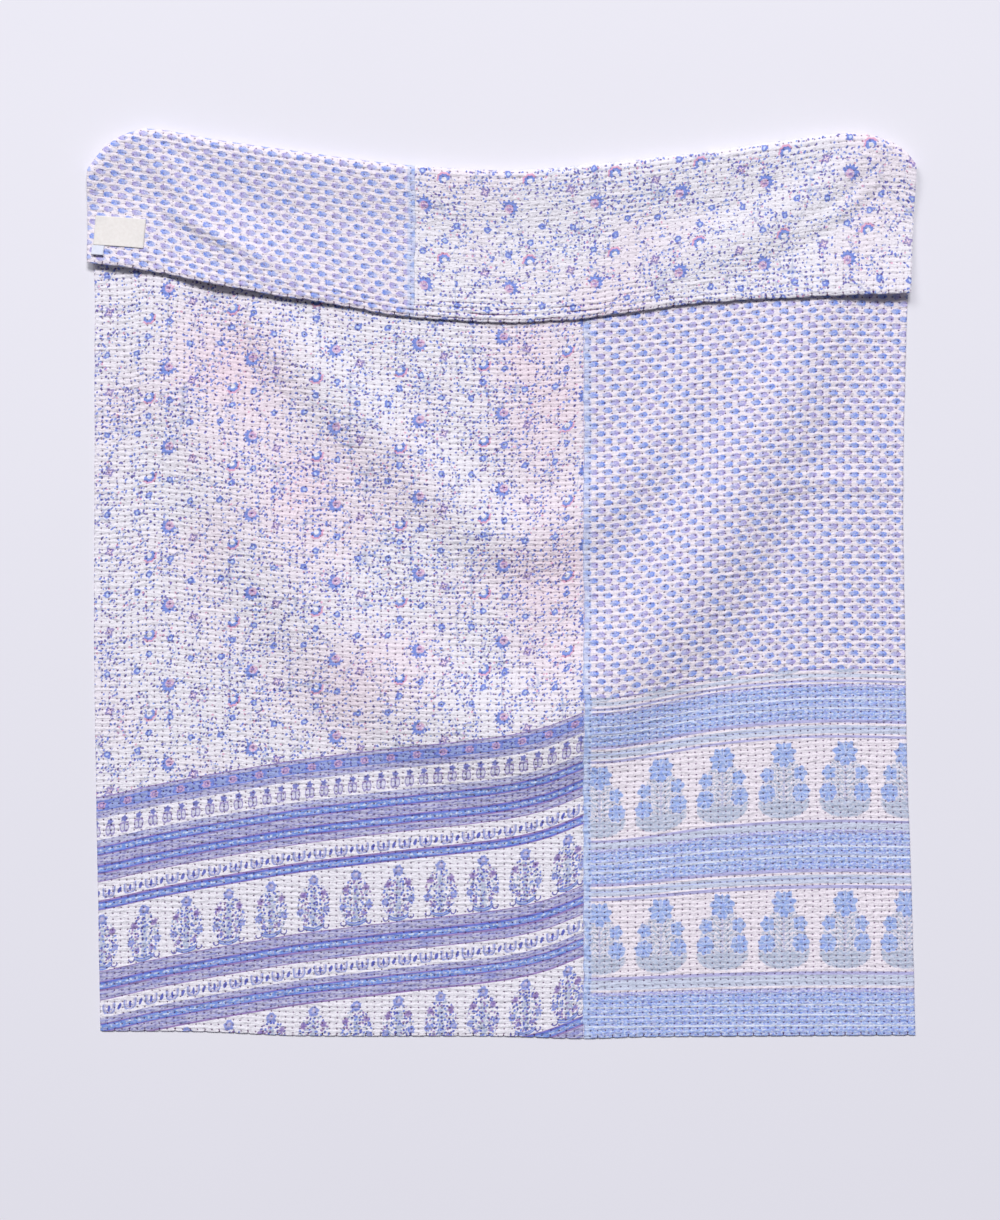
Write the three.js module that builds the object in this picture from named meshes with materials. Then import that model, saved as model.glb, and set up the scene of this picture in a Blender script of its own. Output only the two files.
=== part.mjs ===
// A hand-stitched kantha quilt of two sari-cloth layers, laid out face up, with its top end turned
// over once so that a strip of the reverse shows. X runs across the quilt, Y from the bottom hem to
// the turned-over end, and Z up from the surface that it lies on. Lengths are in millimetres.
//
// Every point of the cloth has two coordinates: `across`, from the left side edge, and `along`, from
// the bottom hem over the turn to the hem of the flap. clothPoint() places the middle of the quilt,
// and each panel is a thin solid on one side of that middle surface.
import * as THREE from "three";

const { clamp, lerp, smoothstep, degToRad } = THREE.MathUtils;

// ------------------------------------------------------------------ driving dimensions

const WIDTH = 1400; // between the side edges
const STITCH_PITCH = 9.3; // from one row of running stitch to the next
const ROWS_PER_RIDGE = 3; // stitch rows to each raised ridge
const FRONT_RIDGES = 54; // from the bottom hem to the turn
const FLAP_RIDGES = 9; // from the turn to the hem of the flap
const RIDGE_HEIGHT = 0.9; // of a ridge over the grooves beside it
const LAYER = 1.6; // thickness of one cloth layer in a groove
const GAP = 0.3; // between the two layers, and between the panels at a seam
const TURN_RADIUS = 9; // of the middle of the quilt round the turned-over end
const TURN_STEPS = 6;
const LAYERS_APART = 7.5; // from the middle of the quilt up to the middle of the flap
const SETTLED = 0.45; // share of the flap over which it comes down from the turn
const LIFT_FROM = 0.3; // share of the flap beyond which its hem lifts

const RIDGE_SPACING = STITCH_PITCH * ROWS_PER_RIDGE;
const FRONT_LENGTH = FRONT_RIDGES * RIDGE_SPACING;
const TURN_LENGTH = Math.PI * TURN_RADIUS;
const FLAP_LENGTH = FLAP_RIDGES * RIDGE_SPACING;
const LENGTH = FRONT_LENGTH + TURN_LENGTH + FLAP_LENGTH;
const REST_HEIGHT = GAP / 2 + LAYER; // of the middle of the quilt where it lies flat

// The seams: how far across the cloth each one runs, and where that falls on the surface.
const FACE_SEAM = { across: 840, x: 141 };
const REVERSE_SEAM = { across: 556, x: -149 };

// The columns of the panels' faces, closer together towards the drooping corners.
const COLUMN_SPANS = [
  { from: 0, to: REVERSE_SEAM.across, steps: 9, closerAt: "from" },
  { from: REVERSE_SEAM.across, to: FACE_SEAM.across, steps: 4, closerAt: "neither" },
  { from: FACE_SEAM.across, to: WIDTH, steps: 9, closerAt: "to" },
];
const COLUMN_EASE = 1.25;

// ------------------------------------------------------------------ outline and folds

// Side edges of the part that lies face up, by the share of its length from the bottom hem.
const FRONT_SIDES = [
  { share: 0, left: -690, right: 711 },
  { share: 0.15, left: -694, right: 705 },
  { share: 0.3, left: -698, right: 697 },
  { share: 0.45, left: -701, right: 693 },
  { share: 0.6, left: -700, right: 690 },
  { share: 0.75, left: -700, right: 694 },
  { share: 0.84, left: -700, right: 699 },
  { share: 1, left: -711, right: 711 },
];

// Side edges of the flap, by the share of its length from the turn.
const FLAP_SIDES = [
  { share: 0, left: -711, right: 711 },
  { share: 1, left: -711, right: 701 },
];

const BOTTOM_HEM = [
  { x: -690, y: -767 },
  { x: -515, y: -768 },
  { x: -345, y: -775 },
  { x: 0, y: -776 },
  { x: 142, y: -780 },
  { x: 240, y: -777 },
  { x: 711, y: -774 },
];

// The turned-over end sags between the two points it was held by, and drops away beyond them.
const TURNED_END = [
  { x: -711, y: 712 },
  { x: -680, y: 751 },
  { x: -640, y: 774 },
  { x: -600, y: 781 },
  { x: -493, y: 763 },
  { x: -320, y: 738 },
  { x: -150, y: 718 },
  { x: 23, y: 710 },
  { x: 195, y: 724 },
  { x: 367, y: 744 },
  { x: 539, y: 768 },
  { x: 600, y: 774 },
  { x: 650, y: 766 },
  { x: 690, y: 745 },
  { x: 711, y: 720 },
];

const FLAP_HEM = [
  { x: -711, y: 553 },
  { x: -605, y: 538 },
  { x: -450, y: 507 },
  { x: -312, y: 485 },
  { x: -149, y: 459 },
  { x: -3, y: 451 },
  { x: 101, y: 454 },
  { x: 204, y: 466 },
  { x: 341, y: 484 },
  { x: 513, y: 493 },
  { x: 701, y: 500 },
];

// How far the hem of the flap stands off the cloth below it.
const HEM_LIFT = [
  { x: -711, lift: 9 },
  { x: -650, lift: 12 },
  { x: -595, lift: 4 },
  { x: -490, lift: 15 },
  { x: -390, lift: 5 },
  { x: -200, lift: 2 },
  { x: 101, lift: 1 },
  { x: 400, lift: 3 },
  { x: 560, lift: 5 },
  { x: 650, lift: 16 },
  { x: 711, lift: 14 },
];

// The soft folds of the part that lies face up: two swags, one inside the other, that hang from the
// two held points. A row for each point of a crest, with its height and how far it spreads.
const OUTER_SWAG = [
  { x: -618, y: 660, rise: 3, reach: 90 },
  { x: -587, y: 439, rise: 13, reach: 115 },
  { x: -510, y: 257, rise: 19, reach: 130 },
  { x: -428, y: 112, rise: 21, reach: 140 },
  { x: -334, y: -31, rise: 21, reach: 140 },
  { x: -213, y: -162, rise: 20, reach: 140 },
  { x: -45, y: -250, rise: 19, reach: 145 },
  { x: 108, y: -230, rise: 21, reach: 145 },
  { x: 244, y: -118, rise: 25, reach: 140 },
  { x: 345, y: 34, rise: 27, reach: 135 },
  { x: 424, y: 200, rise: 25, reach: 130 },
  { x: 504, y: 375, rise: 17, reach: 120 },
  { x: 590, y: 620, rise: 4, reach: 90 },
];
const INNER_SWAG = [
  { x: -480, y: 560, rise: 2, reach: 60 },
  { x: -412, y: 445, rise: 9, reach: 75 },
  { x: -325, y: 367, rise: 14, reach: 85 },
  { x: -228, y: 276, rise: 16, reach: 90 },
  { x: -120, y: 165, rise: 16, reach: 90 },
  { x: -12, y: 88, rise: 15, reach: 90 },
  { x: 101, y: 96, rise: 12, reach: 90 },
  { x: 210, y: 176, rise: 9, reach: 85 },
  { x: 330, y: 330, rise: 5, reach: 80 },
  { x: 430, y: 470, rise: 2, reach: 60 },
];
const SIDE_CREASE = [
  { x: 430, y: 158, rise: 0, reach: 26 },
  { x: 520, y: 178, rise: 3, reach: 30 },
  { x: 610, y: 176, rise: 3, reach: 30 },
  { x: 690, y: 168, rise: 1, reach: 26 },
];

// The folds of the flap itself, which run from the held points towards its hem.
const LEFT_FLAP_FOLD = [
  { x: -612, y: 752, rise: 2, reach: 40 },
  { x: -570, y: 700, rise: 9, reach: 55 },
  { x: -505, y: 636, rise: 12, reach: 65 },
  { x: -420, y: 560, rise: 9, reach: 75 },
  { x: -330, y: 505, rise: 4, reach: 70 },
];
const RIGHT_FLAP_FOLD = [
  { x: 640, y: 742, rise: 2, reach: 40 },
  { x: 590, y: 706, rise: 8, reach: 50 },
  { x: 520, y: 655, rise: 11, reach: 60 },
  { x: 420, y: 600, rise: 9, reach: 70 },
  { x: 290, y: 556, rise: 4, reach: 70 },
];

// ------------------------------------------------------------------ curves through the tables

// A smooth function through a table, whose slope at each row comes from the rows beside it.
function curveThrough(rows, key, value) {
  const slopes = rows.map((row, i) => {
    const before = rows[Math.max(i - 1, 0)];
    const after = rows[Math.min(i + 1, rows.length - 1)];
    return (after[value] - before[value]) / (after[key] - before[key]);
  });
  return (at) => {
    let i = 0;
    while (i < rows.length - 2 && at > rows[i + 1][key]) i += 1;
    const span = rows[i + 1][key] - rows[i][key];
    const t = clamp((at - rows[i][key]) / span, 0, 1);
    const rising = t * t * (3 - 2 * t);
    return (
      lerp(rows[i][value], rows[i + 1][value], rising) +
      span * t * (1 - t) * ((1 - t) * slopes[i] - t * slopes[i + 1])
    );
  };
}

const frontLeft = curveThrough(FRONT_SIDES, "share", "left");
const frontRight = curveThrough(FRONT_SIDES, "share", "right");
const flapLeft = curveThrough(FLAP_SIDES, "share", "left");
const flapRight = curveThrough(FLAP_SIDES, "share", "right");
const bottomHem = curveThrough(BOTTOM_HEM, "x", "y");
const turnedEnd = curveThrough(TURNED_END, "x", "y");
const flapHem = curveThrough(FLAP_HEM, "x", "y");
const hemLift = curveThrough(HEM_LIFT, "x", "lift");

// The height that one fold adds at (x, y): round over its crest, and nothing beyond its reach.
function foldHeight(crest, x, y) {
  let nearest = { distance: Infinity, rise: 0, reach: 1 };
  for (let i = 0; i < crest.length - 1; i += 1) {
    const a = crest[i];
    const b = crest[i + 1];
    const run = (b.x - a.x) ** 2 + (b.y - a.y) ** 2;
    const t = clamp(((x - a.x) * (b.x - a.x) + (y - a.y) * (b.y - a.y)) / run, 0, 1);
    const distance = Math.hypot(x - lerp(a.x, b.x, t), y - lerp(a.y, b.y, t));
    if (distance < nearest.distance) {
      nearest = { distance, rise: lerp(a.rise, b.rise, t), reach: lerp(a.reach, b.reach, t) };
    }
  }
  const off = clamp(nearest.distance / nearest.reach, 0, 1);
  return nearest.rise * Math.cos((off * Math.PI) / 2) ** 2;
}

const foldsHeight = (crests, x, y) => crests.reduce((sum, crest) => sum + foldHeight(crest, x, y), 0);

// ------------------------------------------------------------------ the middle of the quilt

// Where a place across the cloth falls, between side edges at `left` and `right`.
function xAcross(across, left, right) {
  if (across < REVERSE_SEAM.across) {
    return lerp(left, REVERSE_SEAM.x, across / REVERSE_SEAM.across);
  }
  if (across < FACE_SEAM.across) {
    const share = (across - REVERSE_SEAM.across) / (FACE_SEAM.across - REVERSE_SEAM.across);
    return lerp(REVERSE_SEAM.x, FACE_SEAM.x, share);
  }
  return lerp(FACE_SEAM.x, right, (across - FACE_SEAM.across) / (WIDTH - FACE_SEAM.across));
}

const frontHeight = (x, y) => REST_HEIGHT + foldsHeight([OUTER_SWAG, INNER_SWAG, SIDE_CREASE], x, y);

// The height of the flap at (x, y), `share` of the way from the turn to its hem.
function flapHeight(x, y, share) {
  const apart = lerp(2 * TURN_RADIUS, LAYERS_APART, smoothstep(share, 0, SETTLED));
  const lift = hemLift(x) * clamp((share - LIFT_FROM) / (1 - LIFT_FROM), 0, 1) ** 2;
  return frontHeight(x, y) + apart + lift + foldsHeight([LEFT_FLAP_FOLD, RIGHT_FLAP_FOLD], x, y);
}

// The share of the flap's length at which it passes y.
function flapShare(x, y) {
  const from = turnedEnd(x) - TURN_RADIUS;
  return (from - y) / (from - flapHem(x));
}

function clothPoint(across, along) {
  if (along <= FRONT_LENGTH) {
    const share = along / FRONT_LENGTH;
    const x = xAcross(across, frontLeft(share), frontRight(share));
    const y = lerp(bottomHem(x), turnedEnd(x) - TURN_RADIUS, share);
    return new THREE.Vector3(x, y, frontHeight(x, y));
  }
  if (along <= FRONT_LENGTH + TURN_LENGTH) {
    const angle = (along - FRONT_LENGTH) / TURN_RADIUS;
    const x = xAcross(across, frontLeft(1), frontRight(1));
    const y = turnedEnd(x) - TURN_RADIUS;
    const z = frontHeight(x, y) + TURN_RADIUS * (1 - Math.cos(angle));
    return new THREE.Vector3(x, y + TURN_RADIUS * Math.sin(angle), z);
  }
  const share = (along - FRONT_LENGTH - TURN_LENGTH) / FLAP_LENGTH;
  const x = xAcross(across, flapLeft(share), flapRight(share));
  const y = lerp(turnedEnd(x) - TURN_RADIUS, flapHem(x), share);
  return new THREE.Vector3(x, y, flapHeight(x, y, share));
}

// The direction out of the quilt's face at a point of the cloth.
function clothNormal(across, along) {
  const step = 0.5;
  const slope = (far, near) => far.sub(near);
  const overAcross = slope(
    clothPoint(Math.min(across + step, WIDTH), along),
    clothPoint(Math.max(across - step, 0), along),
  );
  const overAlong = slope(
    clothPoint(across, Math.min(along + step, LENGTH)),
    clothPoint(across, Math.max(along - step, 0)),
  );
  return overAcross.cross(overAlong).normalize();
}

// ------------------------------------------------------------------ panels

// The rows of a panel, each at a groove between two ridges, with the part of the cloth that it starts.
function panelRows() {
  const stretch = (part, from, length, steps) =>
    Array.from({ length: steps }, (_, i) => ({ part, along: from + (length * i) / steps }));
  return [
    ...stretch("front", 0, FRONT_LENGTH, FRONT_RIDGES),
    ...stretch("turn", FRONT_LENGTH, TURN_LENGTH, TURN_STEPS),
    ...stretch("flap", FRONT_LENGTH + TURN_LENGTH, FLAP_LENGTH, FLAP_RIDGES),
    { part: "end", along: LENGTH },
  ];
}

// The columns between two places across the cloth.
function panelColumns(from, to) {
  const ease = {
    from: (t) => t ** COLUMN_EASE,
    to: (t) => 1 - (1 - t) ** COLUMN_EASE,
    neither: (t) => t,
  };
  const inside = COLUMN_SPANS.flatMap((span) =>
    Array.from({ length: span.steps }, (_, i) =>
      lerp(span.from, span.to, ease[span.closerAt](i / span.steps)),
    ),
  ).filter((across) => across > from + GAP && across < to - GAP);
  return [from, ...inside, to];
}

// Ridges are uneven along their length, as hand stitching leaves them.
const ridgeHeight = (across, along) =>
  RIDGE_HEIGHT * (0.85 + 0.2 * Math.sin(across / 61 + along / 37) + 0.1 * Math.sin(across / 23));

// A closed solid from its triangles, each a list of three points of `points`.
function solid(points, triangles) {
  const geometry = new THREE.BufferGeometry();
  geometry.setAttribute(
    "position",
    new THREE.Float32BufferAttribute(
      points.flatMap((p) => p.toArray()),
      3,
    ),
  );
  geometry.setIndex(triangles.flat());
  geometry.computeVertexNormals();
  return geometry;
}

// One panel of the quilt: a layer of cloth on the face or the reverse, between two places across. Its
// outer surface is raised in ridges on the part named `quilted`, which is the one that shows.
function panel(side, from, to, quilted) {
  const rows = panelRows();
  const columns = panelColumns(from, to);
  const points = [];
  const triangles = [];
  const add = (point) => points.push(point) - 1;
  const triangle = (a, b, c) => triangles.push(side > 0 ? [a, b, c] : [a, c, b]);
  const offset = (across, along, distance) =>
    clothPoint(across, along).addScaledVector(clothNormal(across, along), side * distance);

  const inner = rows.map(({ along }) =>
    columns.map((across) => add(offset(across, along, GAP / 2))),
  );
  const outer = rows.map(({ along }) =>
    columns.map((across) => add(offset(across, along, GAP / 2 + LAYER))),
  );
  // The crest between two grooves, or nothing where the cloth between them is plain.
  const crests = rows.map(({ part, along }, j) => {
    if (part !== quilted) return null;
    return columns.map((across, i) => {
      const middle = points[outer[j][i]].clone().lerp(points[outer[j + 1][i]], 0.5);
      const height = ridgeHeight(across, along);
      return add(middle.addScaledVector(clothNormal(across, along + RIDGE_SPACING / 2), side * height));
    });
  });

  const strip = (near, far, turned) => {
    for (let i = 0; i < columns.length - 1; i += 1) {
      const [a, b, c, d] = [near[i], near[i + 1], far[i + 1], far[i]];
      if (turned) {
        triangle(a, c, b);
        triangle(a, d, c);
      } else {
        triangle(a, b, c);
        triangle(a, c, d);
      }
    }
  };
  for (let j = 0; j < rows.length - 1; j += 1) {
    const steps = [outer[j], crests[j], outer[j + 1]].filter(Boolean);
    steps.slice(1).forEach((far, k) => strip(steps[k], far, false));
    strip(inner[j], inner[j + 1], true);
    // The side walls, each a fan from the inner corner.
    const left = [...steps.map((row) => row[0]), inner[j + 1][0]];
    const right = [...steps.map((row) => row.at(-1)), inner[j + 1].at(-1)];
    for (let k = 0; k < left.length - 1; k += 1) {
      triangle(left[k], left[k + 1], inner[j][0]);
      triangle(right[k + 1], right[k], inner[j].at(-1));
    }
  }
  const last = rows.length - 1;
  strip(inner[0], outer[0], false);
  strip(outer[last], inner[last], false);
  return solid(points, triangles);
}

// ------------------------------------------------------------------ label and tag

// Both are small pieces of tape that lie on the reverse, near the left end of the flap.
const LABEL = { x: -655, y: 605, width: 87, height: 51, turn: -4.6, thick: 1, curl: 0, steps: 6 };
const CARE_TAG = { x: -692, y: 573.5, width: 21, height: 17, turn: -4.6, thick: 1, curl: 1.5, steps: 2 };
const HIGHEST_RIDGE = 1.4 * RIDGE_HEIGHT;
const ON_QUILT = GAP / 2 + LAYER + HIGHEST_RIDGE + GAP; // over the middle of the flap

// A thin piece on the flap. Its lower end lifts by `curl`.
function tapePiece({ x, y, width, height, turn, thick, curl, steps }) {
  const points = [];
  const triangles = [];
  const angle = degToRad(turn);
  const grid = (raise) =>
    Array.from({ length: steps + 1 }, (_, j) =>
      Array.from({ length: steps + 1 }, (_, i) => {
        const [right, up] = [(i / steps - 0.5) * width, (j / steps - 0.5) * height];
        const px = x + right * Math.cos(angle) - up * Math.sin(angle);
        const py = y + right * Math.sin(angle) + up * Math.cos(angle);
        const pz = flapHeight(px, py, flapShare(px, py)) + ON_QUILT + raise + curl * (1 - j / steps);
        return points.push(new THREE.Vector3(px, py, pz)) - 1;
      }),
    );
  const under = grid(0);
  const over = grid(thick);
  const quad = (a, b, c, d) => triangles.push([a, b, c], [a, c, d]);
  for (let j = 0; j < steps; j += 1) {
    for (let i = 0; i < steps; i += 1) {
      quad(over[j][i], over[j][i + 1], over[j + 1][i + 1], over[j + 1][i]);
      quad(under[j][i], under[j + 1][i], under[j + 1][i + 1], under[j][i + 1]);
    }
    quad(over[j + 1][0], under[j + 1][0], under[j][0], over[j][0]);
    quad(over[j][steps], under[j][steps], under[j + 1][steps], over[j + 1][steps]);
    quad(over[0][j], under[0][j], under[0][j + 1], over[0][j + 1]);
    quad(over[steps][j + 1], under[steps][j + 1], under[steps][j], over[steps][j]);
  }
  return solid(points, triangles);
}

// ------------------------------------------------------------------ the quilt

const FACE = 1;
const REVERSE = -1;
const HALF_GAP = GAP / 2;
const PIECES = [
  {
    name: "front_floral_panel",
    colour: 0xdfdaee,
    shape: panel(FACE, 0, FACE_SEAM.across - HALF_GAP, "front"),
  },
  {
    name: "front_buti_panel",
    colour: 0xc9cdf0,
    shape: panel(FACE, FACE_SEAM.across + HALF_GAP, WIDTH, "front"),
  },
  {
    name: "back_buti_panel",
    colour: 0xcfd2f2,
    shape: panel(REVERSE, 0, REVERSE_SEAM.across - HALF_GAP, "flap"),
  },
  {
    name: "back_floral_panel",
    colour: 0xe4dcec,
    shape: panel(REVERSE, REVERSE_SEAM.across + HALF_GAP, WIDTH, "flap"),
  },
  { name: "label", colour: 0xf3ecdf, shape: tapePiece(LABEL) },
  { name: "care_tag", colour: 0xe9eaf4, shape: tapePiece(CARE_TAG) },
];

const group = new THREE.Group();
for (const { name, colour, shape } of PIECES) {
  const cloth = new THREE.MeshStandardMaterial({ color: colour, roughness: 0.95, metalness: 0 });
  const mesh = new THREE.Mesh(shape, cloth);
  mesh.name = name;
  group.add(mesh);
}

export default group;
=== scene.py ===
"""The looks of a hand-stitched kantha quilt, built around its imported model.

Four panels of printed sari cloth replace the four plain ones. Each is a fine sheet that puffs up
between the rows of running stitch, with its print worked out by shader nodes, and every stitch is a
small piece of thread. Lengths are in millimetres until a mesh is made.
"""
import math

import bpy
import numpy as np
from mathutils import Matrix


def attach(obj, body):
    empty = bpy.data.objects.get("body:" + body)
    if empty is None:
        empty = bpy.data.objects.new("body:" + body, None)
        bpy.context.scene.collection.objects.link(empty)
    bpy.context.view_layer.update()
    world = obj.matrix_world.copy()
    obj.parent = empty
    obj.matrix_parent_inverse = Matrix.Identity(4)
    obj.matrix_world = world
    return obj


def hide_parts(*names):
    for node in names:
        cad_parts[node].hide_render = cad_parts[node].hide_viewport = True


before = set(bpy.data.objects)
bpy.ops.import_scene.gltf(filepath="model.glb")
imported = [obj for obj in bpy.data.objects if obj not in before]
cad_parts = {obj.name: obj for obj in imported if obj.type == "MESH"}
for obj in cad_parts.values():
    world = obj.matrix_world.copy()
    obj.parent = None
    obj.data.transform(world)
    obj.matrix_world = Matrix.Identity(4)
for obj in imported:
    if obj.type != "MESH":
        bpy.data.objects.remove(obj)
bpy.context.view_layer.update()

MM = 0.001  # metres in a millimetre

# ---------------- sizes of the quilt

WIDTH = 1400.0
FRONT_LENGTH = 1506.6  # from the bottom hem to the turn
TURN_RADIUS = 9.0  # of the middle of the quilt round the turned-over end
TURN_LENGTH = math.pi * TURN_RADIUS
FLAP_LENGTH = 251.1
LENGTH = FRONT_LENGTH + TURN_LENGTH + FLAP_LENGTH
FLAP_FROM = FRONT_LENGTH + TURN_LENGTH
LAYER = 1.75  # from the middle of the quilt to the outside of one layer of cloth
GAP = 0.3  # between panels at a seam
LAYERS_APART = 7.5  # from the middle of the quilt up to the middle of the flap
SETTLED = 0.45  # share of the flap over which it comes down from the turn
LIFT_FROM = 0.3  # share of the flap beyond which its hem lifts
HEM_INSET = 4.0  # from a hem to the first row of stitches
ROWS = 191  # spaces between rows of stitches
ROW_PITCH = (LENGTH - 2 * HEM_INSET) / ROWS
STITCH_PITCH = 13.08  # from one stitch to the next in a row
PUFF = 0.84  # rise of the cloth between two rows
STITCH_DEPTH = 0.55  # how far a stitch pulls the cloth down in its row
COLUMN_DEPTH = 0.17  # share of a puff lost in line with the stitches above and below it
FLAP_SLACK = 0.6  # share of its puffs that the flap loses, away from its hem
HEM_STITCH_PITCH = 2 * STITCH_PITCH  # from one stitch over a hem to the next
HEM_NOTCH = 1.5  # how far such a stitch pulls the hem in
EDGE = 4.0  # width over which a hem rounds down to the middle of the quilt
HEM_TUCK = 1.6  # how far below the middle of the quilt the flap's hem is turned in
CORNER_FROM = 600.0  # how far out the turned-over end's rounded corners begin
CORNER_LEVEL = 765.0  # how high the turned-over end's edge is there
CORNER_SHARE = 0.86  # share of the face below which its rows are level
SLOPE_STEP = 0.6  # how far to each side of a place its slope is measured
SIDE_MARGIN = 30.0  # distance over which the rows run straighter towards the quilt's side edges
SIDE_DRIFT = 0.15  # share of their drift that is left at the side edges
HEM_MARGIN = 20.0  # distance from the bottom hem over which the rows get their full sway
NOTCH_REACH = 9.0  # how far in from a hem a stitch over it still pulls
NOTCH_SHARE = 1 / 6  # of the way to the next such stitch, over which the hem is pulled in
BUNCH_DEPTH = 62.0  # how far in from the flap's hem the cloth bunches
BUNCH_MIDDLE = 700.0  # how far across the quilt it bunches most
BUNCH_REACH = 470.0  # how far to each side it still bunches
BUNCH_RISE = 1.1  # how much more it puffs up there, as a share
SLACK_OVER = 30.0  # distance after the turn over which the flap's puffs lose their height
SEAM_HEIGHT = 0.3  # share of the cloth's height that is left along a seam
# Noises that shift the stitches along their rows, and the rows sideways: the size of each, how far
# apart its bumps are across and along the quilt, and its seed.
DRIFTS = ((1.8, 160, ROW_PITCH, 1), (1.4, 75, 45, 2), (0.9, 24, 15, 8))
SWAYS = ((1.1, 85, 42, 3), (0.9, 27, 19, 4))
EDGE_LINES = np.array([0, 0.7, 2.0])  # how far in from a hem or a seam a sheet has extra lines


# How far across the cloth each seam is, and its x.
FACE_SEAM, FACE_SEAM_X = 840.0, 141.0
REVERSE_SEAM, REVERSE_SEAM_X = 556.0, -149.0

# ---------------- curves and noise


def lerp(a, b, t):
    return a + (b - a) * t


def unit(arrows):
    """Arrows one unit long."""
    return arrows / np.linalg.norm(arrows, axis=-1, keepdims=True)


def smooth(t):
    t = np.clip(t, 0, 1)
    return t * t * (3 - 2 * t)


def curve(*points):
    """A smooth function through points, whose slope at each comes from the ones beside it."""
    keys, values = np.array(points, float).T
    places = np.arange(len(keys))
    before, after = np.maximum(places - 1, 0), np.minimum(places + 1, len(keys) - 1)
    slopes = (values[after] - values[before]) / (keys[after] - keys[before])

    def value(at):
        i = np.clip(np.searchsorted(keys, at) - 1, 0, len(keys) - 2)
        span = keys[i + 1] - keys[i]
        t = np.clip((at - keys[i]) / span, 0, 1)
        bend = span * t * (1 - t) * ((1 - t) * slopes[i] - t * slopes[i + 1])
        return lerp(values[i], values[i + 1], smooth(t)) + bend

    return value


def fold(*crest, steps=6):
    """A soft fold. Its crest is a list of places, each with the fold's height and how far it spreads."""
    columns = np.array(crest, float).T
    run = np.append(0, np.cumsum(np.hypot(*np.diff(columns[:2]))))
    at = np.linspace(0, run[-1], steps * (len(run) - 1) + 1)
    return np.stack([curve(*zip(run, column))(at) for column in columns], axis=-1)


def fold_height(crest, x, y):
    """The height that one fold adds: round over its crest, and nothing beyond its reach."""
    nearest, rise, reach = np.full(np.shape(x), np.inf), np.zeros(np.shape(x)), np.ones(np.shape(x))
    for (ax, ay, *a), (bx, by, *b) in zip(crest, crest[1:]):
        t = ((x - ax) * (bx - ax) + (y - ay) * (by - ay)) / ((bx - ax) ** 2 + (by - ay) ** 2)
        t = np.clip(t, 0, 1)
        distance = np.hypot(x - lerp(ax, bx, t), y - lerp(ay, by, t))
        closer = distance < nearest
        nearest = np.where(closer, distance, nearest)
        rise, reach = (
            np.where(closer, lerp(p, q, t), old) for p, q, old in zip(a, b, (rise, reach))
        )
    return rise * np.cos(np.clip(nearest / reach, 0, 1) * math.pi / 2) ** 2


def noises(across, along, kinds):
    return sum(size * noise(across / u, along / v, seed) for size, u, v, seed in kinds)


def noise(u, v, seed):
    """Smooth noise from -1 to 1, with bumps about one unit apart."""
    lattice = np.random.default_rng(seed).uniform(-1, 1, (64, 64))
    i, j = np.floor(u).astype(int), np.floor(v).astype(int)
    s, t = smooth(u - i), smooth(v - j)
    low = lerp(lattice[i % 64, j % 64], lattice[(i + 1) % 64, j % 64], s)
    high = lerp(lattice[i % 64, (j + 1) % 64], lattice[(i + 1) % 64, (j + 1) % 64], s)
    return lerp(low, high, t)


# ---------------- the middle of the quilt

# The side edges, at shares of the length of the face or the flap.
front_left = curve(
    (0, -690), (0.15, -694), (0.3, -698), (0.45, -701), (0.6, -700), (0.75, -700), (0.84, -700), (1, -711)
)
front_right = curve(
    (0, 711), (0.15, 705), (0.3, 697), (0.45, 693), (0.6, 690), (0.75, 694), (0.84, 699), (1, 711)
)
flap_left = curve((0, -711), (1, -711))
flap_right = curve((0, 711), (1, 701))
# The ends, and how far the flap's hem lifts, at places across the quilt.
bottom_hem = curve(
    (-690, -767), (-515, -768), (-345, -775), (0, -776), (142, -780), (240, -777), (711, -774)
)
turned_end = curve(
    (-711, 712), (-680, 751), (-640, 774), (-600, 781), (-493, 763), (-320, 738), (-150, 718),
    (23, 710), (195, 724), (367, 744), (539, 768), (600, 774), (650, 766), (690, 745), (711, 720),
)
flap_hem = curve(
    (-711, 553), (-605, 538), (-450, 507), (-312, 485), (-149, 459), (-3, 451), (101, 454),
    (204, 466), (341, 484), (513, 493), (701, 500),
)
hem_lift = curve(
    (-711, 9), (-650, 12), (-595, 4), (-490, 15), (-390, 5), (-200, 2), (101, 1), (400, 3),
    (560, 5), (650, 16), (711, 14),
)
OUTER_SWAG = fold(
    (-618, 660, 3, 90), (-587, 439, 13, 115), (-510, 257, 19, 130), (-428, 112, 21, 140),
    (-334, -31, 21, 140), (-213, -162, 20, 140), (-45, -250, 19, 145), (108, -230, 21, 145),
    (244, -118, 25, 140), (345, 34, 27, 135), (424, 200, 25, 130), (504, 375, 17, 120),
    (590, 620, 4, 90),
)
INNER_SWAG = fold(
    (-480, 560, 2, 60), (-412, 445, 9, 75), (-325, 367, 14, 85), (-228, 276, 16, 90),
    (-120, 165, 16, 90), (-12, 88, 15, 90), (101, 96, 12, 90), (210, 176, 9, 85),
    (330, 330, 5, 80), (430, 470, 2, 60),
)
SIDE_CREASE = fold((430, 158, 0, 26), (520, 178, 3, 30), (610, 176, 3, 30), (690, 168, 1, 26))
FACE_FOLDS = (OUTER_SWAG, INNER_SWAG, SIDE_CREASE)
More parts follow.
